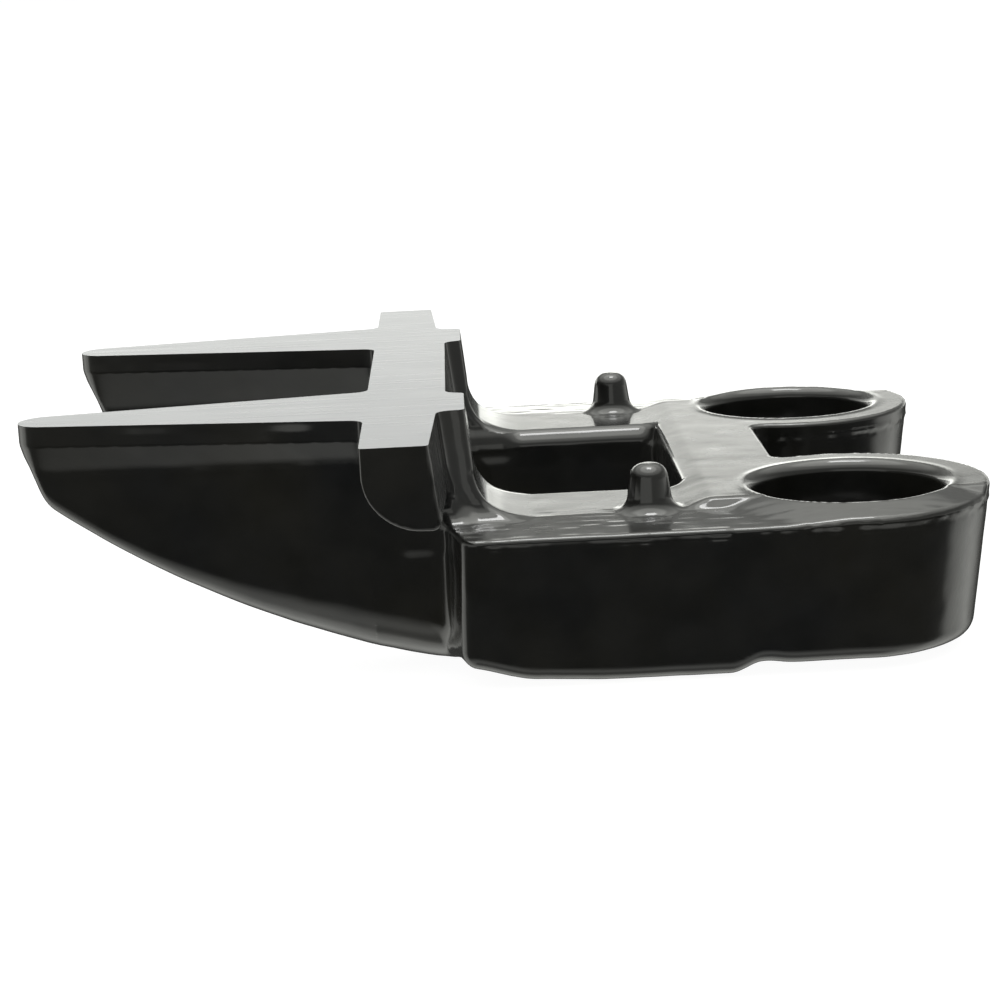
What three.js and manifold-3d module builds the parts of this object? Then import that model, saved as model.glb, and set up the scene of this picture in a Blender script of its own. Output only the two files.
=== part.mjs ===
// Double knife guard for a cutter bar: two fingers with ground ledger faces, joined by a
// trash bar, two arms, a rear web and two bolt eyes.  The real guard is one forging; here each
// functional region of it is a solid of its own, with a narrow gap to its neighbours.
// Millimetres, +Z up.  The fingers point to -X and the bolt eyes are at +X.
import * as THREE from 'three';
import { mergeVertices } from 'three/addons/utils/BufferGeometryUtils.js';
import Module from 'manifold-3d';

const wasm = await Module();
wasm.setup();

// ---- driving dimensions: X is counted from the trash bar's front edge, Z from the ledger plane
const PITCH = 76.2;              // finger to finger, the 3 inch cutter bar standard
const GAP = 0.3;                 // clearance between neighbouring regions
const TIP_X = -57.5;             // finger tip
const TIP_RADIUS = 5;            // rounding of the tip in plan
const FINGER_HALF = 13.8;        // half width of the ledger face at the trash bar
const FINGER_TAPER = 0.165;      // half width lost per millimetre towards the tip
const LAND = 3.4;                // height of the upright shear land under the ledger edge
const ROOT_X = 12;               // where a finger ends and its arm begins
const BAR_DEPTH = 12.2;          // trash bar, front to back at its top
const BAR_HEIGHT = 13.6;
const NECK_REAR = 16.4;          // rear edge of a neck's top
const NECK_HALF = 8.5;           // half width of a neck at its top
const NECK_FLARE = 1.4;          // what each side of a neck widens by down to its foot
const RIB_HALF = 9.5;            // half width of the flat rib along each arm
const ARM_TOP = -18.1;
const SHOULDER_FALL = 0.6;       // the arm's top falls this much from the rib to its outer edge
const ARM_BOTTOM = -44.2;
const ARM_INNER = 11.1;          // arm's inner wall, from the finger's centre line
const WALL_DRAFT = 2.6;          // what the outer wall leans in over its height
const SPLIT_X = 61;              // where an arm ends and its eye begins
const EYE_X = 80;
const EYE_RADIUS = 23.6;         // also the arm's outer wall, from the finger's centre line
const EYE_BOTTOM = -42.8;
const POCKET_RADIUS = 15.9;      // pocket for the bolt head and its socket
const POCKET_FLOOR = -30;
const BOLT_RADIUS = 6.75;        // clearance hole for a half inch bolt
const RIM_TOP = -16.5;
const WEB_TOP = -16.65;
const WEB_BOTTOM = -36;
const WEB_FRONT = 53.2;
const WEB_REAR = 70.4;
const WEB_CORNER = 4;            // rounding where the web runs into the arms and eyes
const PEG_X = 46;
const PEG_OUT = 8.2;             // the pegs stand this far outside the fingers' centre lines
const PEG_TOP = -10.4;
const PEG_FOOT = 6.2;            // radius of the fillet at a peg's base
const ROUND_STEPS = 56;          // facets round an eye

const blackPaint = { color: 0x1c1d1b, roughness: 0.32, metalness: 0.0 };
const groundSteel = { color: 0xb9bbbd, roughness: 0.28, metalness: 1.0 };

const guard = new THREE.Group();
const regions = new THREE.Group();
regions.position.x = -BAR_DEPTH / 2;     // puts the origin at the middle of the bar's top face
guard.add(regions);

// ---- helpers
function solid(geometry) {
  const bare = geometry.clone();
  bare.deleteAttribute('normal');
  bare.deleteAttribute('uv');
  const welded = mergeVertices(bare, 1e-4);
  return new wasm.Manifold(new wasm.Mesh({
    numProp: 3,
    vertProperties: new Float32Array(welded.attributes.position.array),
    triVerts: new Uint32Array(welded.index.array),
  }));
}

function addRegion(name, body, look) {
  const cut = body.getMesh();
  const geometry = new THREE.BufferGeometry();
  geometry.setAttribute('position', new THREE.BufferAttribute(cut.vertProperties, 3));
  geometry.setIndex(new THREE.BufferAttribute(cut.triVerts, 1));
  geometry.computeVertexNormals();
  const mesh = new THREE.Mesh(geometry, new THREE.MeshStandardMaterial(look));
  mesh.name = name;
  regions.add(mesh);
}

function outline(points) {
  return new THREE.Shape(points.map(([a, b]) => new THREE.Vector2(a, b)));
}

// a plan outline in X and Y, standing from z = bottom to z = top
function upright(shape, bottom, top) {
  const geometry = new THREE.ExtrudeGeometry(shape, { depth: top - bottom, bevelEnabled: false });
  return solid(geometry.translate(0, 0, bottom));
}

// a side profile in X and Z, running across from y = low to y = high
function across(shape, low, high, steps = 1) {
  const geometry = new THREE.ExtrudeGeometry(shape, { depth: high - low, steps, bevelEnabled: false });
  return geometry.rotateX(Math.PI / 2).translate(0, high, 0);
}

// a cross-section in Y and Z, running lengthways from x = low to x = high
function lengthways(shape, low, high) {
  const geometry = new THREE.ExtrudeGeometry(shape, { depth: high - low, bevelEnabled: false });
  const turn = new THREE.Matrix4().makeBasis(
    new THREE.Vector3(0, 1, 0), new THREE.Vector3(0, 0, 1), new THREE.Vector3(1, 0, 0));
  return solid(geometry.applyMatrix4(turn).translate(low, 0, 0));
}

function turned(profile, x, y) {
  const points = profile.map(([r, z]) => new THREE.Vector2(r, z));
  const geometry = new THREE.LatheGeometry(points, ROUND_STEPS);
  return solid(geometry.rotateX(Math.PI / 2).translate(x, y, 0));
}

// ---- fingers
function fingerHalf(x) {
  const centre = TIP_X + TIP_RADIUS;
  const straight = FINGER_HALF + FINGER_TAPER * Math.min(x, 0);
  if (x >= centre) return straight;
  return Math.min(straight, Math.sqrt(Math.max(TIP_RADIUS ** 2 - (x - centre) ** 2, 0)));
}

// depth of the boat-shaped underside: a shallow parabola with a steep rounded nose
function keelDepth(x) {
  const run = x - TIP_X;
  const boat = 11.5 + 0.725 * run - 0.0038 * run ** 2;
  const nose = 6.5 * Math.exp(-((run / 1.9) ** 2));
  return boat - nose;
}

function fingerSection(x) {
  const half = Math.max(fingerHalf(x), 0.4);
  const depth = keelDepth(x);
  const land = Math.min(LAND, 0.9 * depth);
  const ahead = (x - TIP_X) / -TIP_X;
  const bevel = Math.min(3.5 + 2 * ahead, 0.4 * (depth - land));
  const waist = half - Math.min(2.1, 0.35 * half);
  const round = Math.min(9 - 6 * ahead, 0.9 * (depth - land - bevel), 0.8 * waist);
  const foot = waist - 0.08 * (depth - land - bevel - round);
  const side = [[half, 0], [half, -land], [waist, -land - bevel]];
  for (const angle of [0, 30, 60, 90]) {
    const turn = THREE.MathUtils.degToRad(angle);
    side.push([foot - round * (1 - Math.cos(turn)), round - depth - round * Math.sin(turn)]);
  }
  const mirrored = side.map(([y, z]) => [-y, z]).reverse();
  return [...side, ...mirrored];
}

// skins one cross-section to the next: the rings replace the points of a plain extrusion
function fingerBody(y) {
  const stations = [0, 0.15, 0.5, 1.2, 2.2, 3.4, 5, 6.8, 9];
  for (let run = 13; run <= ROOT_X - TIP_X + 4; run += 5.5) stations.push(run);
  const rings = stations.map((run) => fingerSection(TIP_X + run));
  const count = rings[0].length;
  const circle = rings[0].map((_, i) => [
    Math.cos((2 * Math.PI * i) / count), Math.sin((2 * Math.PI * i) / count)]);
  const last = rings.length - 1;
  const geometry = new THREE.ExtrudeGeometry(
    outline(circle), { depth: last, steps: last, bevelEnabled: false });
  const spot = geometry.attributes.position;
  for (let v = 0; v < spot.count; v += 1) {
    const turn = Math.atan2(spot.getY(v), spot.getX(v)) / (2 * Math.PI);
    const place = (Math.round(turn * count) + count) % count;
    const ring = Math.round(spot.getZ(v));
    const [across_, height] = rings[ring][place];
    spot.setXYZ(v, TIP_X + stations[ring], y - across_, height);
  }
  return solid(geometry);
}

// the land under the ledger face is one region, and the painted finger below it another
function ledgerSpace(y) {
  const shape = outline([
    [TIP_X - 1, -LAND], [-GAP, -LAND], [-GAP, 1], [TIP_X - 1, 1]]);
  return solid(across(shape, y - PITCH / 2, y + PITCH / 2));
}

// in front of the trash bar, then on below it to the arm
function fingerSpace(y) {
  const rear = ROOT_X - GAP / 2;
  const shape = outline([
    [TIP_X - 1, -LAND - GAP], [BAR_DEPTH / 2, -LAND - GAP], [rear, -BAR_HEIGHT - GAP],
    [rear, 2 * ARM_BOTTOM], [TIP_X - 1, 2 * ARM_BOTTOM]]);
  return solid(across(shape, y - PITCH / 2, y + PITCH / 2));
}

// ---- trash bar
function barProfile() {
  const shape = new THREE.Shape();
  shape.moveTo(0.3, 0);
  shape.lineTo(0, -0.3);
  shape.lineTo(0, -4);
  shape.bezierCurveTo(0.5, -8.6, 3.4, -12.6, 8.7, -13.4);
  shape.lineTo(11.8, -BAR_HEIGHT);
  shape.quadraticCurveTo(14, -13.2, 13.5, -10.3);
  shape.lineTo(BAR_DEPTH, 0);
  return shape;
}

// the rear face stands a little further back between the necks and tapers on the outer stubs
function barBody() {
  const geometry = across(barProfile(), -PITCH, PITCH, 24);
  const spot = geometry.attributes.position;
  for (let v = 0; v < spot.count; v += 1) {
    const x = spot.getX(v);
    const out = Math.abs(spot.getY(v)) - PITCH / 2;
    const back = THREE.MathUtils.clamp((x - BAR_DEPTH / 2) / (BAR_DEPTH / 2), 0, 1);
    const shift = out > 0 ? -1.6 * (out / (PITCH / 2)) : Math.min(1.1, -0.14 * out);
    spot.setX(v, x + back * shift);
  }
  return solid(geometry);
}

// the same body pushed forward, back and down by the gap, to cut its neighbours clear of it
function clearOfBar(body, bar, forward) {
  let rest = body.subtract(bar);
  for (const [dx, dz] of [[forward * GAP, 0], [0, -GAP], [forward * GAP, -GAP]]) {
    rest = rest.subtract(bar.translate([dx, 0, dz]));
  }
  return rest;
}

// ---- necks: the risers that carry the trash bar above the arms
function neckBody(y) {
  const shape = new THREE.Shape();
  shape.moveTo(BAR_DEPTH - 4, 0);
  shape.lineTo(NECK_REAR, 0);
  shape.lineTo(17.6, -9);
  shape.bezierCurveTo(18.4, -13.2, 20.2, -16.6, 24.4, ARM_TOP + GAP);
  shape.lineTo(ROOT_X + GAP / 2, ARM_TOP + GAP);
  shape.lineTo(ROOT_X + GAP / 2, -BAR_HEIGHT);
  shape.lineTo(BAR_DEPTH, 1.5 - BAR_HEIGHT);
  const foot = NECK_HALF + NECK_FLARE;
  const flare = lengthways(outline([
    [y - foot, ARM_TOP], [y + foot, ARM_TOP], [y + NECK_HALF, 0], [y - NECK_HALF, 0]]), 0, 30);
  return solid(across(shape, y - foot, y + foot)).intersect(flare);
}

// ---- arms
function armSection(side, bottom) {
  const points = [
    [-RIB_HALF, ARM_TOP], [RIB_HALF, ARM_TOP], [EYE_RADIUS - 0.6, ARM_TOP - SHOULDER_FALL],
    [EYE_RADIUS, ARM_TOP - SHOULDER_FALL - 0.7], [EYE_RADIUS - WALL_DRAFT + 0.3, bottom + 3],
    [EYE_RADIUS - WALL_DRAFT - 0.6, bottom + 0.9], [EYE_RADIUS - WALL_DRAFT - 2.8, bottom],
    [-ARM_INNER + 2.5, bottom], [-ARM_INNER + 0.7, bottom + 1.8], [-ARM_INNER, ARM_TOP - 2.7]];
  return outline(points.map(([out, z]) => [side * (PITCH / 2 + out), z]));
}

function armPlan(side) {
  const at = (out) => side * (PITCH / 2 + out);
  const front = ROOT_X + GAP / 2;
  const shape = new THREE.Shape();
  shape.moveTo(front, at(-ARM_INNER));
  shape.lineTo(front, at(12));
  shape.lineTo(14.4, at(21.3));
  shape.quadraticCurveTo(15, at(EYE_RADIUS), 17.2, at(EYE_RADIUS));
  shape.lineTo(SPLIT_X - GAP / 2, at(EYE_RADIUS));
  shape.lineTo(SPLIT_X - GAP / 2, at(-ARM_INNER));
  return shape;
}

function armBody(side) {
  const slab = lengthways(armSection(side, ARM_BOTTOM), ROOT_X, SPLIT_X);
  const belly = new THREE.Shape();
  belly.moveTo(ROOT_X, 0);
  belly.lineTo(ROOT_X, -keelDepth(ROOT_X));
  belly.quadraticCurveTo(20, 1 + ARM_BOTTOM, 28, 0.7 + ARM_BOTTOM);
  belly.quadraticCurveTo(38, ARM_BOTTOM, 46, ARM_BOTTOM);
  belly.lineTo(SPLIT_X, ARM_BOTTOM);
  belly.lineTo(SPLIT_X, 0);
  const reach = PITCH * 1.2;
  const blank = upright(armPlan(side), ARM_BOTTOM - 1, ARM_TOP + 1)
    .intersect(slab)
    .intersect(solid(across(belly, -reach, reach)));
  const ramp = outline([
    [49.5, ARM_TOP - 1], [49.5, ARM_TOP], [57, WEB_TOP],
    [SPLIT_X - GAP / 2, WEB_TOP], [SPLIT_X - GAP / 2, ARM_TOP - 1]]);
  const y = side * PITCH / 2;
  const seat = PEG_FOOT + GAP;
  const pegSeat = turned(
    [[0, ARM_TOP], [seat, ARM_TOP], [seat, 0], [0, 0]], PEG_X, side * (PITCH / 2 + PEG_OUT));
  return blank.add(solid(across(ramp, y - RIB_HALF, y + RIB_HALF))).subtract(pegSeat);
}

// ---- eyes: each has a deep pocket whose floor is the bolt seat
function eyeBody(side) {
  const y = side * PITCH / 2;
  const flank = EYE_RADIUS - WALL_DRAFT;
  const ring = turned([
    [0, EYE_BOTTOM], [flank - 3, EYE_BOTTOM], [flank - 0.9, EYE_BOTTOM + 1], [flank, EYE_BOTTOM + 3.2],
    [EYE_RADIUS, ARM_TOP - 1.3], [EYE_RADIUS - 0.6, ARM_TOP - 0.4], [20.4, RIM_TOP - 0.9],
    [17.8, RIM_TOP - 0.1], [16.8, RIM_TOP], [0, RIM_TOP]], 0, 0).translate([EYE_X, y, 0]);
  const start = SPLIT_X + GAP / 2;
  const shoulder = lengthways(armSection(side, EYE_BOTTOM), start, EYE_X);
  const at = (out) => side * (PITCH / 2 + out);
  const plateau = upright(outline([
    [start, at(-ARM_INNER)], [EYE_X - 10, at(-ARM_INNER)],
    [EYE_X - 10, at(RIB_HALF)], [start, at(RIB_HALF)]]), ARM_TOP - 1, WEB_TOP);
  const behindSplit = upright(outline([
    [start, at(-40)], [120, at(-40)], [120, at(40)], [start, at(40)]]), -50, 0);
  const pocket = turned([
    [0, POCKET_FLOOR], [POCKET_RADIUS, POCKET_FLOOR], [POCKET_RADIUS, RIM_TOP - 1],
    [POCKET_RADIUS + 0.9, RIM_TOP + 0.5], [0, RIM_TOP + 0.5]], EYE_X, y);
  const bolt = turned([
    [0, EYE_BOTTOM - 1], [BOLT_RADIUS, EYE_BOTTOM - 1],
    [BOLT_RADIUS, POCKET_FLOOR + 1], [0, POCKET_FLOOR + 1]], EYE_X, y);
  return ring.add(shoulder).add(plateau).intersect(behindSplit).subtract(pocket).subtract(bolt);
}

// ---- rear web between the two arms, hollowed by the eyes' flanks
function webBody() {
  const half = PITCH / 2 - ARM_INNER - GAP;
  const shape = new THREE.Shape();
  shape.moveTo(WEB_FRONT - WEB_CORNER, -half);
  shape.quadraticCurveTo(WEB_FRONT, -half, WEB_FRONT, WEB_CORNER - half);
  shape.lineTo(WEB_FRONT, half - WEB_CORNER);
  shape.quadraticCurveTo(WEB_FRONT, half, WEB_FRONT - WEB_CORNER, half);
  shape.lineTo(WEB_REAR + WEB_CORNER, half);
  shape.quadraticCurveTo(WEB_REAR, PITCH / 2 - EYE_RADIUS, WEB_REAR, PITCH / 2 - EYE_RADIUS - 3);
  shape.lineTo(WEB_REAR, EYE_RADIUS + 3 - PITCH / 2);
  shape.quadraticCurveTo(WEB_REAR, EYE_RADIUS - PITCH / 2, WEB_REAR + WEB_CORNER, -half);
  let web = upright(shape, WEB_BOTTOM, WEB_TOP);
  for (const side of [-1, 1]) {
    const reach = EYE_RADIUS + GAP;
    web = web.subtract(turned(
      [[0, -50], [reach, -50], [reach, 0], [0, 0]], EYE_X, side * PITCH / 2));
  }
  return web;
}

// ---- locating pegs on the arms, where the rib meets the shoulder
function pegBody(y) {
  const foot = ARM_TOP + GAP;
  return turned([
    [0, foot], [PEG_FOOT, foot], [PEG_FOOT - 0.4, foot + 0.3], [4.8, foot + 1.2], [4, foot + 3],
    [3.3, PEG_TOP - 1.6], [2.6, PEG_TOP - 0.6], [1.4, PEG_TOP - 0.1], [0, PEG_TOP]], PEG_X, y);
}

// ---- assembly: left is the side of negative Y
const bar = barBody();
addRegion('trash_bar', bar, groundSteel);
for (const [word, side] of [['left', -1], ['right', 1]]) {
  const y = side * PITCH / 2;
  const finger = clearOfBar(fingerBody(y), bar, -1);
  addRegion(`ledger_${word}`, finger.intersect(ledgerSpace(y)), groundSteel);
  addRegion(`finger_${word}`, finger.intersect(fingerSpace(y)), blackPaint);
  addRegion(`neck_${word}`, clearOfBar(neckBody(y), bar, 1), blackPaint);
  addRegion(`arm_${word}`, armBody(side), blackPaint);
  addRegion(`eye_${word}`, eyeBody(side), blackPaint);
  addRegion(`locating_peg_${word}`, pegBody(y + side * PEG_OUT), blackPaint);
}
addRegion('rear_web', webBody(), blackPaint);

export default guard;
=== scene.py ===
import math

import bmesh
import bpy
import numpy as np
from mathutils import Matrix, Vector


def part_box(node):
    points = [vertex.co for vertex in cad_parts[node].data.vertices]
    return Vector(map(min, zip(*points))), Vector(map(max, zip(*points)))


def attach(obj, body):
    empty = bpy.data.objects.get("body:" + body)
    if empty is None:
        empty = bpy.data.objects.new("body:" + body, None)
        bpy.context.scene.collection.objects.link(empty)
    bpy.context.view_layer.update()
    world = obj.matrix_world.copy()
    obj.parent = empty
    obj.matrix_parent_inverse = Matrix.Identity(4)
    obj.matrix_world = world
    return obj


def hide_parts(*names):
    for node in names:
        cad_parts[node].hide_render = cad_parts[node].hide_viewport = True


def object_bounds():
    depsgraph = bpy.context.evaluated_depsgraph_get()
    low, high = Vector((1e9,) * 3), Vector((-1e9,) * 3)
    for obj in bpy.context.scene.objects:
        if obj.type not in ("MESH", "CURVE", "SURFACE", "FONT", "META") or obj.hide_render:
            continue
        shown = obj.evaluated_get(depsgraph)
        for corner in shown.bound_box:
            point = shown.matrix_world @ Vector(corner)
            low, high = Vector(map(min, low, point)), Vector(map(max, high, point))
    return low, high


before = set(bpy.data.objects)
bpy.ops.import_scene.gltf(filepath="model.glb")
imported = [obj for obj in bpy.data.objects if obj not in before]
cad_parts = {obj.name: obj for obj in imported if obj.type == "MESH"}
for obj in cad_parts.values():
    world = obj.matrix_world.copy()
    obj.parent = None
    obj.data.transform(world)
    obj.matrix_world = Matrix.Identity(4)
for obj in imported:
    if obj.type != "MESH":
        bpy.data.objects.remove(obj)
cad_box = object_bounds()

# The guard is one forging, so its surface is worked out as one signed distance field, in
# millimetres, with the fillets of a forging where its regions meet.  The field is meshed once,
# cut off flat at the ledger plane, and then cut into the regions that are the CAD nodes.

MM = 1000.0
GRID = 0.6       # spacing of the field's grid
SEED = 11


# ---------------------------------------------------------------- sizes taken from the frame
def box_mm(node):
    low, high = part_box(node)
    return [c * MM for c in low], [c * MM for c in high]


bar_low, bar_high = box_mm("trash_bar")
ledger_low, ledger_high = box_mm("ledger_right")
arm_low, arm_high = box_mm("arm_right")
eye_low, eye_high = box_mm("eye_right")
web_low, web_high = box_mm("rear_web")
peg_low, peg_high = box_mm("locating_peg_right")

FRONT = bar_low[0]                       # the trash bar's front edge: X is counted from it
HALF_PITCH = (ledger_low[1] + ledger_high[1]) / 2
TIP = ledger_low[0] - FRONT
FINGER_HALF = (ledger_high[1] - ledger_low[1]) / 2
LAND = ledger_high[2] - ledger_low[2]
BAR_END = bar_high[1] - 0.1
BAR_BOTTOM = bar_low[2]
ARM_BOTTOM = arm_low[2]
SPLIT = eye_low[0] - FRONT - 0.15        # where the arms end and the eyes begin
EYE_RADIUS = (eye_high[1] - eye_low[1]) / 2
EYE = eye_high[0] - FRONT - EYE_RADIUS
EYE_BOTTOM = eye_low[2]
RIM_TOP = eye_high[2]
WEB_TOP = web_high[2]
WEB_BOTTOM = web_low[2]
PEG = (peg_low[0] + peg_high[0]) / 2 - FRONT
PEG_TOP = peg_high[2]
PEG_OUT = (peg_low[1] + peg_high[1]) / 2 - HALF_PITCH

# ---------------------------------------------------------------- the rest of the sizes, in mm
TAPER = 0.165                            # half width that a finger loses per mm towards its tip
KEEL_START = 11.5                        # a finger's depth at its tip, before the nose is rounded
KEEL_SLOPE = 0.725
KEEL_CURVE = 0.0038
NOSE_LIFT = 2.6
NOSE_LENGTH = 2.4
KEEL_CLEAR = 0.8                         # the keel ends this much above the arms' underside
ROOT = 12.0                              # where the fingers end and the arms begin
CHANNEL = -18.1                          # floor of the knife channel
RIB_HALF = 9.7                           # half width of the flat rib along each arm
ARM_INNER = 11.1
WALL = EYE_RADIUS - 0.3                  # leaves room for the flash line inside the frame
DRAFT = 0.122                            # forging draft of the outer walls
BAR_DEPTH = 12.1
BAR_LEAN = 0.117                         # slope of the bar's rear face
BAR_TAPER = 1.5                          # depth that the bar loses over a stub
BAR_FRONT_ROUND = 9.0
NECK_REAR = 16.4
NECK_HALF = 8.4
NECK_DRAFT = 0.10
NECK_BOTTOM = -22.0
NECK_SWEEP = 8.0                         # radius of the corner that is milled behind the necks
POCKET_RADIUS = 15.9
POCKET_FLOOR = -30.0
BOLT_RADIUS = 6.75
RIM_CREST = 17.6                         # radius where a rim starts to fall away outwards
RIM_FALL = 0.29
RAMP_START = 50.5                        # where the rib climbs to the web's level
RAMP_LENGTH = 6.5
WEB_FRONT = 53.2
WEB_REAR = 70.4
PEG_BASE = 3.95
PEG_DRAFT = 0.14
FILLET = 2.2                             # the forging's usual fillet
ROUGH_HEIGHT = 0.07                      # height of the forging's unevenness
FLASH_HEIGHT = 0.25                      # how far the trimmed flash stands out
STREAK_HEIGHT = 0.04


# ---------------------------------------------------------------- field helpers
def both(a, b, r):
    """Intersection of two fields, with its edge rounded to radius r."""
    return np.minimum(np.maximum(a, b), -r) + np.hypot(np.maximum(a + r, 0), np.maximum(b + r, 0))


def either(a, b, r):
    """Union of two fields, with a fillet of radius r."""
    return -both(-a, -b, r)


def ease(u):
    u = np.clip(u, 0, 1)
    return u * u * (3 - 2 * u)


def soft_min(a, b, k):
    h = np.clip(0.5 + 0.5 * (b - a) / k, 0, 1)
    return b + (a - b) * h - k * h * (1 - h)


def lattice(cells, seed):
    """A repeatable random number between -1 and 1 for each whole-numbered cell."""
    i, j, k = (c.astype(np.int64) for c in cells)
    mixed = (i * 73856093) ^ (j * 19349663) ^ (k * 83492791) ^ (seed * 2654435761)
    mixed = (mixed ^ (mixed >> 13)) * 1274126177 & 0x7FFFFFFF
    mixed = (mixed ^ (mixed >> 16)) & 0xFFFF
    return mixed / 32767.5 - 1


def uneven(x, y, z, length, seed):
    """Smooth random relief with lumps about one length across, between -1 and 1."""
    spot = [c / length + 57.3 for c in (x, y, z)]
    cell = [np.floor(c) for c in spot]
    blend_ = [(c - f) ** 3 * ((c - f) * ((c - f) * 6 - 15) + 10) for c, f in zip(spot, cell)]
    total = 0
    for di in (0, 1):
        for dj in (0, 1):
            for dk in (0, 1):
                share = 1.0
                for step, part in zip((di, dj, dk), blend_):
                    share = share * (part if step else 1 - part)
                total = total + share * lattice((cell[0] + di, cell[1] + dj, cell[2] + dk), seed)
    return total


# ---------------------------------------------------------------- the field of each region
# x from the bar's front edge, o outward from the finger's centre line, t down from the ledgers
def keel_depth(run):
    """Depth of a finger's underside, by the distance behind its tip, and its slope."""
    nose = NOSE_LIFT * np.exp(-((run / NOSE_LENGTH) ** 2))
    depth = KEEL_START + KEEL_SLOPE * run - KEEL_CURVE * run ** 2 - nose
    slope = KEEL_SLOPE - 2 * KEEL_CURVE * run + 2 * run / NOSE_LENGTH ** 2 * nose
    return depth, slope


def finger(x, o, t):
    sin_a = TAPER / math.hypot(1, TAPER)
    cos_a = 1 / math.hypot(1, TAPER)
    radius = (FINGER_HALF * cos_a + TIP * sin_a) / (1 - sin_a)
    q = x - (TIP + radius)
    a = np.abs(o)
    flank = np.where(x < 0, -sin_a * q + cos_a * a - radius, a - FINGER_HALF)
    plan = np.where(q * cos_a + a * sin_a < 0, np.hypot(q, o) - radius, flank)
    run = x - TIP
    ahead = np.clip(-x / -TIP, 0, 1)
    inner = ease((0.5 - o) / 1.0)                # the bevel reaches lower on the inner side
    bevel = 3.5 + 2.0 * ahead + 3.0 * inner
    depth_in = (1.5 + 0.3 * ahead + 1.3 * inner) * (0.8 + 0.2 * ease(run / 7))
    below = np.maximum(t - LAND, 0)
    inset = soft_min(below * depth_in / bevel, depth_in, 0.5)
    inset = inset + (0.07 + 0.04 * (1 - ease(run / 7))) * np.maximum(t - LAND - bevel, 0)
    side = plan + inset
    keel, slope = keel_depth(run)
    under = (t - soft_min(keel, -KEEL_CLEAR - ARM_BOTTOM, 0.8)) / np.hypot(1, slope)
    shape = both(side, under, 2.8 + 6.4 * ease((run - 12) / 50))
    behind = ((x - 6) * 12 - t * 6.5) / math.hypot(12, 6.5)   # slants down behind the trash bar
    return both(both(shape, behind, 1.0), x - (ROOT + 8), 2.0)


def trash_bar(x, a, t):
    out = a - HALF_PITCH
    rear_edge = BAR_DEPTH + np.where(
        out > 0, -BAR_TAPER * out / HALF_PITCH, np.minimum(1.2, -0.14 * out))
    front_low = both(-x, t + BAR_BOTTOM + 0.2, BAR_FRONT_ROUND)
    rear = (x - rear_edge - BAR_LEAN * t) * 0.993
    section = both(front_low, rear, 1.6)
    end = a - BAR_END + 0.01 * t
    return both(section, end, 0.7)


def neck(x, o, t):
    side = (np.abs(o) - NECK_HALF - NECK_DRAFT * np.minimum(t, 20)) * 0.997
    rise = -t - CHANNEL                          # height above the channel floor
    lift = np.clip(NECK_SWEEP - rise, 0, NECK_SWEEP)
    sweep = NECK_SWEEP - np.sqrt(NECK_SWEEP ** 2 - lift ** 2 * 0.98)
    rear = (x - NECK_REAR - 0.10 * np.minimum(t, 10) - sweep) * 0.9
    shape = both(side, rear, 1.1)
    shape = both(shape, 6.0 - x, 0.5)
    return both(shape, t + NECK_BOTTOM, 0.5)


def rear_bottom(x, o):
    """Height of the undersides of the arms, which are lower than those of the eyes."""
    step = (EYE_BOTTOM - ARM_BOTTOM) * ease((x - SPLIT + 3.5) / 5.0)
    notch = 0.45 * np.exp(-(((x - SPLIT - 2.6) / 2.6) ** 2))
    forward = (0.2 + 0.5 * ease((o + 4) / 20)) * ease((42 - x) / 20)
    corner = 2.6 * ease((26.5 - x) / 13) * ease((o + 4) / 20)
    return ARM_BOTTOM + 0.15 + step + notch + forward + corner


def rear_top(x, o, r):
    """Height of the tops of arms, web and eyes, as one surface."""
    outward = np.maximum(o - RIB_HALF, 0)
    shoulder = CHANNEL - 0.10 * ease(outward / 0.9) - 0.042 * outward
    ramp = ease((x - RAMP_START) / RAMP_LENGTH) * ease((RIB_HALF + 0.8 - o) / 2.2)
    flat = shoulder + (WEB_TOP - CHANNEL) * ramp
    beyond = r - RIM_CREST
    fall = 0.5 * (beyond + np.sqrt(beyond ** 2 + 0.3))
    rim = RIM_TOP - RIM_FALL * fall
    return -soft_min(-flat, -rim, 0.5)


def rear(x, a, o, t):
    """Both arms, both eyes and the web between them."""
    depth = t + CHANNEL
    r = np.hypot(x - EYE, o)
    capsule = np.hypot(np.maximum(x - EYE, 0), o) - WALL + DRAFT * depth
    circle = r - WALL + DRAFT * depth
    inner = -(o + ARM_INNER) + 0.055 * depth
    chamfer = (-(o + ARM_INNER) - depth + 2.2) * 0.7071
    limb = both(both(capsule, inner, 1.0), chamfer, 0.8)
    limb = np.maximum(limb, x - EYE)
    plan = np.where(o > 0, capsule, either(limb, circle, 2.5))
    front = (12.4 + 0.24 * (o - 12) - x) * 0.97
    plan = both(plan, front, 2.2)
    solid = both(plan, t + rear_bottom(x, o), 2.8)
    block = both(np.maximum(WEB_FRONT - x, x - WEB_REAR), t + WEB_BOTTOM, 3.0)
    block = np.maximum(block, a - (HALF_PITCH - ARM_INNER + 3))
    solid = either(solid, block, 3.5)
    top = (-t - rear_top(x, o, r)) * 0.98
    return both(solid, top, 0.8), r


def peg(x, o, t):
    r = np.hypot(x - PEG, o - PEG_OUT)
    cone = (r - PEG_BASE + PEG_DRAFT * (-t - CHANNEL)) * 0.99
    return both(both(cone, -PEG_TOP - t, 2.0), t + CHANNEL - 3, 0.5)


def pockets(r, t):
    bowl = both(r - POCKET_RADIUS, t + POCKET_FLOOR, 2.0)
    return either(bowl, r - BOLT_RADIUS, 0.9)


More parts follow.
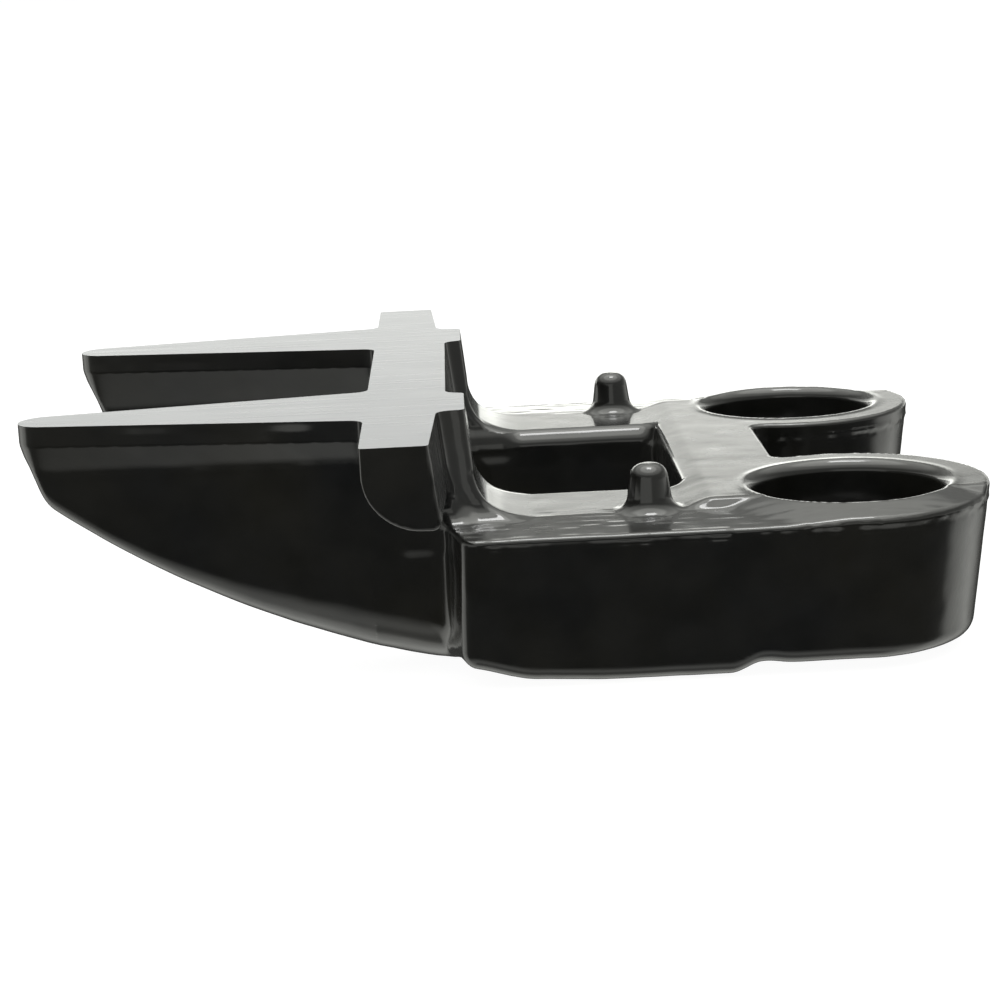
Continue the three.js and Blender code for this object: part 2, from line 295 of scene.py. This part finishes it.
def guard(x, y, z):
    """Signed distance to the guard, left open above the ledger plane."""
    x = x - FRONT
    a = np.abs(y)
    o = a - HALF_PITCH
    t = -z
    back, r = rear(x, a, o, t)
    back = both(back, -pockets(r, t), FILLET)
    back = either(back, peg(x, o, t), FILLET)
    head = either(finger(x, o, t), trash_bar(x, a, t), FILLET)
    head = either(head, neck(x, o, t), 2.5)
    fillet = 0.4 + 2.6 * ease((40 - t) / 5)      # hardly any on the underside
    return either(back, head, fillet)


def relief(x, y, z):
    """Forged unevenness, the trimmed flash line and streaks on the rims, as a height in mm."""
    rough = ROUGH_HEIGHT * uneven(x, y, z, 8.0, SEED) + 0.03 * uneven(x, y, z, 3.1, SEED + 1)
    o = np.abs(y) - HALF_PITCH
    beyond = np.hypot(np.maximum(x - FRONT - EYE, 0), o) - WALL
    outer = ease((beyond + 2.2) / 1.6)
    behind = ease((x - FRONT - 16) / 3)
    ragged = 0.5 + 0.5 * uneven(x, y, 0 * z, 1.6, SEED + 2) + 0.4 * uneven(x, y, 0 * z, 5.0, SEED + 3)
    lip = np.exp(-(((z - CHANNEL + 1.1) / 0.42) ** 2))
    score = np.exp(-(((z - CHANNEL + 2.1) / 0.5) ** 2))
    flash = (FLASH_HEIGHT * lip - 0.12 * score) * ragged * outer * behind
    flats = ease((o - RIB_HALF) / 2) + ease((CHANNEL - z - 1.5) / 2)
    level = 0.35 + 0.65 * np.minimum(flats, 1)   # tops in the knife channel are the smoothest
    r = np.hypot(x - FRONT - EYE, o)
    flank = ease((r - 18.5) / 1.5) * ease((o - 4) / 6) * ease((z - CHANNEL + 1.5) / 1.2)
    streaks = STREAK_HEIGHT * uneven(x / 3, y, 0 * z, 1.3, SEED + 4) * flank
    calm = ease((-z - 0.4) / 1.2)
    return (rough * level + flash + streaks) * calm


def surface(points):
    x, y, z = points.T
    return guard(x, y, z) - relief(x, y, z)


def gradient(points, step=0.04):
    slopes = []
    for axis in range(3):
        shift = np.zeros(3)
        shift[axis] = step
        slopes.append((surface(points + shift) - surface(points - shift)) / (2 * step))
    return np.stack(slopes, 1)


# ---------------------------------------------------------------- meshing the field
def field_on_grid(spacing):
    low = np.array([c * MM for c in cad_box[0]]) - 3 * spacing
    high = np.array([c * MM for c in cad_box[1]]) + 3 * spacing
    high[2] += 2.0
    axes = [np.arange(low[i], high[i] + spacing, spacing, dtype=np.float32) for i in range(3)]
    x, y, z = np.meshgrid(*axes, indexing="ij")
    values = guard(x, y, z)
    values = np.maximum(values, z - 1.6).astype(np.float32)      # closed off above the cut
    return values, np.array([a[0] for a in axes]), spacing


def surface_nets(values, origin, spacing):
    """One vertex in each cell that the surface crosses, and a quad across each crossed edge."""
    inside = values < 0
    corners = [(i, j, k) for i in (0, 1) for j in (0, 1) for k in (0, 1)]
    size = [n - 1 for n in values.shape]

    def part(array, corner):
        i, j, k = corner
        return array[i:i + size[0], j:j + size[1], k:k + size[2]]

    count = sum(part(inside, c).astype(np.int8) for c in corners)
    cells = np.argwhere((count > 0) & (count < 8))
    number = np.full(size, -1, dtype=np.int64)
    number[tuple(cells.T)] = np.arange(len(cells))
    total = np.zeros((len(cells), 3))
    hits = np.zeros(len(cells))
    for c in corners:
        for axis in range(3):
            if c[axis]:
                continue
            far = list(c)
            far[axis] = 1
            v0 = values[tuple((cells + c).T)]
            v1 = values[tuple((cells + far).T)]
            crossed = (v0 < 0) != (v1 < 0)
            share = np.where(crossed, v0 / np.where(crossed, v0 - v1, 1), 0)
            spot = np.tile(np.array(c, float), (len(cells), 1))
            spot[:, axis] = share
            total += spot * crossed[:, None]
            hits += crossed
    verts = origin + (cells + total / hits[:, None]) * spacing
    quads = []
    for axis in range(3):
        b, c = (axis + 1) % 3, (axis + 2) % 3
        head = [slice(0, n) for n in values.shape]
        tail = [slice(0, n) for n in values.shape]
        head[axis] = slice(0, -1)
        tail[axis] = slice(1, None)
        a0, a1 = inside[tuple(head)], inside[tuple(tail)]
        edges = np.argwhere(a0 != a1)
        edges = edges[(edges[:, b] > 0) & (edges[:, c] > 0)]
        leaving = a0[tuple(edges.T)]
        ring = []
        for db, dc in ((-1, -1), (0, -1), (0, 0), (-1, 0)):
            cell = edges.copy()
            cell[:, b] += db
            cell[:, c] += dc
            ring.append(number[tuple(cell.T)])
        ring = np.stack(ring, 1)
        ring[~leaving] = ring[~leaving][:, ::-1]
        quads.append(ring)
    return verts, np.concatenate(quads)


def settle(verts, rounds=4):
    """Moves each vertex onto the exact surface, along the field's slope."""
    for _ in range(rounds):
        slope = gradient(verts)
        square = np.maximum((slope ** 2).sum(1), 0.05)
        step = surface(verts) / square
        verts = verts - slope * np.clip(step, -0.3, 0.3)[:, None]
    return verts


def whole_mesh():
    values, origin, spacing = field_on_grid(GRID)
    verts, quads = surface_nets(values, origin, spacing)
    below = verts[:, 2] < 0.8
    verts[below] = settle(verts[below])
    mesh = bpy.data.meshes.new("guard_whole")
    mesh.from_pydata((verts / MM).tolist(), [], quads.tolist())
    mesh.validate()
    return mesh


# ---------------------------------------------------------------- cutting it into the nodes
def as_object(name, mesh):
    piece = bpy.data.objects.new(name, mesh)
    bpy.context.scene.collection.objects.link(piece)
    return piece


def prism(points, low, high, upright=False):
    """A closed prism: a side profile (x, z) run across, or a plan (x, y) stood upright."""
    shape = bmesh.new()
    rings = []
    for run in (low, high):
        ring = []
        for a, b in points:
            spot = (a + FRONT, b, run) if upright else (a + FRONT, run, b)
            ring.append(shape.verts.new(Vector(spot) / MM))
        rings.append(ring)
    count = len(points)
    shape.faces.new(rings[0])
    shape.faces.new(rings[1])
    for i in range(count):
        j = (i + 1) % count
        shape.faces.new((rings[0][i], rings[0][j], rings[1][j], rings[1][i]))
    bmesh.ops.recalc_face_normals(shape, faces=shape.faces)
    mesh = bpy.data.meshes.new("cutter")
    shape.to_mesh(mesh)
    shape.free()
    return mesh


def combine(mesh, steps):
    """Applies booleans in turn: steps are (operation, mesh)."""
    piece = as_object("work", mesh)
    tools = []
    for operation, tool_mesh in steps:
        tool = as_object("tool", tool_mesh)
        tools.append(tool)
        cut = piece.modifiers.new("cut", "BOOLEAN")
        cut.operation = operation
        cut.solver = "MANIFOLD"
        cut.object = tool
    depsgraph = bpy.context.evaluated_depsgraph_get()
    result = bpy.data.meshes.new_from_object(piece.evaluated_get(depsgraph))
    for thing in [piece, *tools]:
        bpy.data.objects.remove(thing)
    return result


def circle_plan(x, y, radius, sides=96):
    turn = [2 * math.pi * i / sides for i in range(sides)]
    return [(x + radius * math.cos(v), y + radius * math.sin(v)) for v in turn]


FAR = 90.0                               # beyond the guard on every side
SEAM = BAR_BOTTOM - 0.15                 # level under the trash bar where a finger passes below it
NECK_FOOT = CHANNEL + 0.2                # level where the necks and pegs end and the arms begin
BAR_REAR = 13.4                          # where the necks begin behind the bar


def cutters(side):
    """What cuts each region of one half out of the whole, with the neck's and web's own cutters."""
    def across(points, inner=0.0, outer=FAR):
        low, high = sorted((side * inner, side * outer))
        return prism(points, low, high)

    def rectangle(x0, x1, z0=-FAR, z1=0.0, inner=0.0):
        return across([(x0, z0), (x1, z0), (x1, z1), (x0, z1)], inner)

    neck_cut = across([
        (BAR_REAR, 0), (30, 0), (30, NECK_FOOT), (ROOT, NECK_FOOT), (ROOT, SEAM), (BAR_REAR + 1.4, SEAM)],
        HALF_PITCH - 14, HALF_PITCH + 14)
    arm_cut = across([
        (ROOT, -FAR), (SPLIT, -FAR), (SPLIT, 0), (30, 0), (30, SEAM), (ROOT, SEAM)])
    peg_cut = prism(circle_plan(PEG, side * (HALF_PITCH + PEG_OUT), 6.0), NECK_FOOT, 0, upright=True)
    web_half = HALF_PITCH - ARM_INNER
    web_cut = combine(
        across([(44, -FAR), (FAR, -FAR), (FAR, 0), (44, 0)], 0, web_half),
        [("DIFFERENCE", prism(circle_plan(EYE, side * HALF_PITCH, EYE_RADIUS), -FAR, 1, True))])
    return {
        "ledger": [("INTERSECT", rectangle(-FAR, 0, -LAND))],
        "finger": [("INTERSECT", across([
            (-FAR, -LAND), (0, -LAND), (0, SEAM), (ROOT, SEAM), (ROOT, -FAR), (-FAR, -FAR)]))],
        "neck": [("INTERSECT", neck_cut)],
        "locating_peg": [("INTERSECT", peg_cut)],
        "arm": [("INTERSECT", arm_cut), ("DIFFERENCE", neck_cut),
                ("DIFFERENCE", peg_cut), ("DIFFERENCE", web_cut)],
        "eye": [("INTERSECT", rectangle(SPLIT, 2 * FAR)), ("DIFFERENCE", web_cut)],
    }, neck_cut, web_cut


def vectors(items, name):
    """One row of three numbers for each vertex or face."""
    values = np.empty(len(items) * 3)
    items.foreach_get(name, values)
    return values.reshape(-1, 3)


def dress(piece, ground, paint):
    """Smooth shading from the field itself, so that no seam shows, and flat ground faces."""
    mesh = piece.data
    mesh.materials.clear()
    mesh.materials.append(paint)
    mesh.materials.append(ground)
    slope = gradient(vectors(mesh.vertices, "co") * MM)
    slope /= np.maximum(np.linalg.norm(slope, axis=1), 1e-9)[:, None]
    faces = vectors(mesh.polygons, "normal")
    centres = vectors(mesh.polygons, "center") * MM
    ground_face = (centres[:, 2] > -0.01) & (faces[:, 2] > 0.99)
    mesh.polygons.foreach_set("material_index", ground_face.astype(np.int32))
    mesh.polygons.foreach_set("use_smooth", np.ones(len(mesh.polygons), dtype=bool))
    corner_vert = np.empty(len(mesh.loops), dtype=np.int32)
    mesh.loops.foreach_get("vertex_index", corner_vert)
    total = np.empty(len(mesh.polygons), dtype=np.int32)
    mesh.polygons.foreach_get("loop_total", total)
    owner = np.repeat(np.arange(len(mesh.polygons)), total)
    flat = faces[owner]
    normals = slope[corner_vert]
    turned = ((normals * flat).sum(1) < 0.35) | ground_face[owner]
    normals[turned] = flat[turned]
    mesh.normals_split_custom_set(normals.tolist())


# ---------------------------------------------------------------- materials
def new_material(name):
    material = bpy.data.materials.new(name)
    material.use_nodes = True
    tree = material.node_tree
    shader = tree.nodes["Principled BSDF"]
    coords = tree.nodes.new("ShaderNodeTexCoord")
    return material, tree, shader, coords.outputs["Object"]


def noise(tree, coords, scale, detail, stretch=None):
    if stretch:
        mapping = tree.nodes.new("ShaderNodeMapping")
        mapping.inputs["Scale"].default_value = stretch
        tree.links.new(coords, mapping.inputs["Vector"])
        coords = mapping.outputs["Vector"]
    node = tree.nodes.new("ShaderNodeTexNoise")
    node.inputs["Scale"].default_value = scale
    node.inputs["Detail"].default_value = detail
    tree.links.new(coords, node.inputs["Vector"])
    return node.outputs["Fac"]


def ranged(tree, value, low, high, from_low=0.3, from_high=0.7):
    node = tree.nodes.new("ShaderNodeMapRange")
    node.inputs["From Min"].default_value = from_low
    node.inputs["From Max"].default_value = from_high
    node.inputs["To Min"].default_value = low
    node.inputs["To Max"].default_value = high
    tree.links.new(value, node.inputs["Value"])
    return node.outputs["Result"]


def blend(tree, factor, low, high):
    node = tree.nodes.new("ShaderNodeMix")
    node.data_type = "RGBA"
    node.inputs["A"].default_value = (*low, 1)
    node.inputs["B"].default_value = (*high, 1)
    tree.links.new(factor, node.inputs["Factor"])
    return node.outputs["Result"]


def bumps(tree, shader, layers):
    previous = None
    for height, distance, strength in layers:
        node = tree.nodes.new("ShaderNodeBump")
        node.inputs["Distance"].default_value = distance
        node.inputs["Strength"].default_value = strength
        tree.links.new(height, node.inputs["Height"])
        if previous:
            tree.links.new(previous, node.inputs["Normal"])
        previous = node.outputs["Normal"]
    tree.links.new(previous, shader.inputs["Normal"])


def black_paint():
    """Thick black enamel over a forged skin: a slow colour drift, orange peel and pits."""
    material, tree, shader, coords = new_material("black_paint")
    drift = noise(tree, coords, 45, 4)
    colour = blend(tree, ranged(tree, drift, 0, 1), (0.0022, 0.0025, 0.0029), (0.0055, 0.0052, 0.0038))
    tree.links.new(colour, shader.inputs["Base Color"])
    tree.links.new(ranged(tree, noise(tree, coords, 160, 3), 0.32, 0.50), shader.inputs["Roughness"])
    shader.inputs["Specular IOR Level"].default_value = 0.22
    shader.inputs["Coat Weight"].default_value = 1.0
    shader.inputs["Coat Roughness"].default_value = 0.10
    bumps(tree, shader, [
        (noise(tree, coords, 320, 4), 0.0004, 0.10),
        (noise(tree, coords, 1400, 2), 0.0001, 0.16)])
    return material


def ground_steel():
    """Surface-ground steel: fine scratches along the wheel's travel and a soft even sheen."""
    material, tree, shader, coords = new_material("ground_steel")
    shader.inputs["Metallic"].default_value = 1.0
    lines = noise(tree, coords, 900, 3, stretch=(0.03, 1.0, 1.0))
    cloud = noise(tree, coords, 70, 3)
    tree.links.new(blend(tree, ranged(tree, cloud, 0, 1), (0.333, 0.338, 0.364), (0.371, 0.376, 0.402)),
                   shader.inputs["Base Color"])
    tree.links.new(ranged(tree, lines, 0.26, 0.32), shader.inputs["Roughness"])
    bumps(tree, shader, [(lines, 0.00002, 0.05)])
    return material


def pale_floor():
    material, tree, shader, _ = new_material("pale_floor")
    shader.inputs["Base Color"].default_value = (0.12, 0.12, 0.12, 1)
    shader.inputs["Roughness"].default_value = 0.9
    shader.inputs["Emission Color"].default_value = (1, 1, 1, 1)
    shader.inputs["Emission Strength"].default_value = 0.95
    return material


def white_backdrop():
    material, tree, shader, _ = new_material("white_backdrop")
    shader.inputs["Base Color"].default_value = (0, 0, 0, 1)
    shader.inputs["Emission Color"].default_value = (1, 1, 1, 1)
    shader.inputs["Emission Strength"].default_value = 1.0
    return material


# ---------------------------------------------------------------- the guard
def build_guard():
    whole = whole_mesh()
    paint, steel = black_paint(), ground_steel()
    pieces = {}
    neck_cuts = []
    web_cuts = []
    for word, side in (("left", -1), ("right", 1)):
        regions, neck_cut, web_cut = cutters(side)
        neck_cuts.append(neck_cut)
        web_cuts.append(web_cut)
        for region, steps in regions.items():
            pieces[f"{region}_{word}"] = steps
    bar_box = prism([(0, SEAM), (20, SEAM), (20, 0), (0, 0)], -FAR, FAR)
    pieces["trash_bar"] = [("INTERSECT", bar_box), *(("DIFFERENCE", cut) for cut in neck_cuts)]
    web_box = combine(web_cuts[0].copy(), [("UNION", web_cuts[1])])
    pieces["rear_web"] = [("INTERSECT", web_box)]
    for node, steps in pieces.items():
        mesh = combine(whole, steps)
        mesh.name = node
        piece = as_object(f"forged_{node}", mesh)
        dress(piece, steel, paint)
        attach(piece, "root")
        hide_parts(node)


# ---------------------------------------------------------------- camera, floor and light
CAMERA_TURN = (0.81, 12.14, 2.71)        # azimuth, elevation and roll in degrees
CAMERA_SPOT = (15.82, -447.08, 70.87)    # from the middle of the bar's front edge


def aim(thing, forward, up=Vector((0, 0, 1))):
    side = forward.cross(up).normalized()
    lift = side.cross(forward)
    turn = Matrix((side, lift, -forward)).transposed()
    thing.rotation_euler = turn.to_euler()


def build_camera():
    azimuth, elevation, roll = (math.radians(v) for v in CAMERA_TURN)
    forward = Vector((
        math.sin(azimuth) * math.cos(elevation),
        math.cos(azimuth) * math.cos(elevation),
        -math.sin(elevation)))
    side = forward.cross(Vector((0, 0, 1))).normalized()
    lift = side.cross(forward)
    up = lift * math.cos(roll) + side * math.sin(roll)
    data = bpy.data.cameras.new("camera")
    data.sensor_width = 36
    data.lens = 90
    data.clip_start = 0.01
    data.clip_end = 50
    camera = as_object("camera", data)
    camera.location = (Vector(CAMERA_SPOT) + Vector((FRONT, 0, 0))) / MM
    aim(camera, forward, up)
    bpy.context.scene.camera = camera


def build_stage():
    floor_level = ARM_BOTTOM / MM - 0.0002       # metres, just clear of the arms
    reach = 12.0
    mesh = bpy.data.meshes.new("floor")
    mesh.from_pydata([(-reach, -reach, floor_level), (reach, -reach, floor_level),
                      (reach, reach, floor_level), (-reach, reach, floor_level)], [], [(0, 1, 2, 3)])
    floor = as_object("floor", mesh)
    mesh.materials.append(pale_floor())
    floor.visible_glossy = False
    dome_shape = bmesh.new()
    bmesh.ops.create_uvsphere(dome_shape, u_segments=48, v_segments=24, radius=20.0)
    dome_mesh = bpy.data.meshes.new("backdrop")
    dome_shape.to_mesh(dome_mesh)
    dome_shape.free()
    backdrop = as_object("backdrop", dome_mesh)
    dome_mesh.materials.append(white_backdrop())
    for ray in ("diffuse", "glossy", "transmission", "shadow", "volume_scatter"):
        setattr(backdrop, f"visible_{ray}", False)


PEAK = 5.0                               # ramps hold colours up to 1, so levels are shares of this
TINT = (1.0, 1.01, 0.955)
# brightness by the sine of the elevation that a direction looks at: high up on every side, and
# below that on the open side in front of the guard, to its left and right, and behind it
OVERHEAD = [(0.33, 0.3), (0.48, 0.35), (0.62, 1.2), (0.80, 1.4), (0.87, 3.2), (0.97, 3.2), (1.0, 2.0)]
OPEN_STOPS = [(-1.0, 0.25), (-0.96, 0.3), (-0.90, 0.75), (-0.84, 0.8), (-0.60, 0.04), (-0.14, 0.03),
              (-0.05, 0.9), (0.25, 0.9), *OVERHEAD]
SIDE_STOPS = [(-1.0, 1.0), (-0.5, 1.0), (0.0, 1.1), (0.24, 1.2), *OVERHEAD]
REAR_STOPS = [(-1.0, 0.25), (-0.90, 0.2), (-0.70, 0.04), (-0.03, 0.04), (0.02, 2.4), (0.13, 2.4),
              (0.155, 1.25), (0.225, 1.25), (0.26, 0.25), *OVERHEAD]
SIDES_FROM = (-0.12, 0.12)               # where a direction's Y goes from the open side to the sides
REAR_FROM = (0.45, 0.85)                 # and from the sides to the rear
RIGHT_DIM = 0.6                          # share of the light that is missing low down on the right


def curve(tree, value, stops):
    """A brightness that follows (place, level) stops along a value from -1 to 1."""
    ramp = tree.nodes.new("ShaderNodeValToRGB")
    tree.links.new(ranged(tree, value, 0, 1, -1, 1), ramp.inputs["Fac"])
    bar = ramp.color_ramp
    while len(bar.elements) < len(stops):
        bar.elements.new(0.5)
    for element, (place, _) in zip(bar.elements, stops):
        element.position = (place + 1) / 2
    for element, (_, level) in zip(bar.elements, stops):
        element.color = (*(level / PEAK * share for share in TINT), 1)
    return ramp.outputs["Color"]


def product(tree, value, *factors):
    for factor in factors:
        node = tree.nodes.new("ShaderNodeMath")
        node.operation = "MULTIPLY"
        tree.links.new(value, node.inputs[0])
        tree.links.new(factor, node.inputs[1])
        value = node.outputs["Value"]
    return value


def crossfade(tree, factor, first, second):
    mix = tree.nodes.new("ShaderNodeMix")
    mix.data_type = "RGBA"
    tree.links.new(factor, mix.inputs["Factor"])
    tree.links.new(first, mix.inputs["A"])
    if second:
        tree.links.new(second, mix.inputs["B"])
    else:
        mix.inputs["B"].default_value = (0, 0, 0, 1)
    return mix.outputs["Result"]


def build_world():
    world = bpy.data.worlds.new("studio")
    bpy.context.scene.world = world
    world.use_nodes = True
    tree = world.node_tree
    coords = tree.nodes.new("ShaderNodeTexCoord").outputs["Generated"]
    split = tree.nodes.new("ShaderNodeSeparateXYZ")
    tree.links.new(coords, split.inputs[0])
    across, depth, height = (split.outputs[axis] for axis in "XYZ")
    colour = curve(tree, height, OPEN_STOPS)
    for (low, high), stops in ((SIDES_FROM, SIDE_STOPS), (REAR_FROM, REAR_STOPS)):
        change = tree.nodes.new("ShaderNodeMapRange")
        change.interpolation_type = "SMOOTHSTEP"
        change.inputs["From Min"].default_value = low
        change.inputs["From Max"].default_value = high
        tree.links.new(depth, change.inputs["Value"])
        colour = crossfade(tree, change.outputs["Result"], colour, curve(tree, height, stops))
    dim = product(
        tree,
        ranged(tree, across, 0, RIGHT_DIM, 0.12, 0.24),
        ranged(tree, height, 1, 0, 0.25, 0.35),
        ranged(tree, height, 0, 1, -0.02, 0.04))
    shade = tree.nodes["Background"]
    tree.links.new(crossfade(tree, dim, colour, None), shade.inputs["Color"])
    shade.inputs["Strength"].default_value = PEAK


def build_lamp():
    lamp_data = bpy.data.lights.new("overhead", "AREA")
    lamp_data.size = 0.3
    lamp_data.energy = 3.0
    lamp = as_object("overhead", lamp_data)
    lamp.location = (0.1, 0.1, 1.0)


build_camera()
build_guard()
build_stage()
build_world()
build_lamp()
bpy.context.scene.view_settings.view_transform = "Standard"
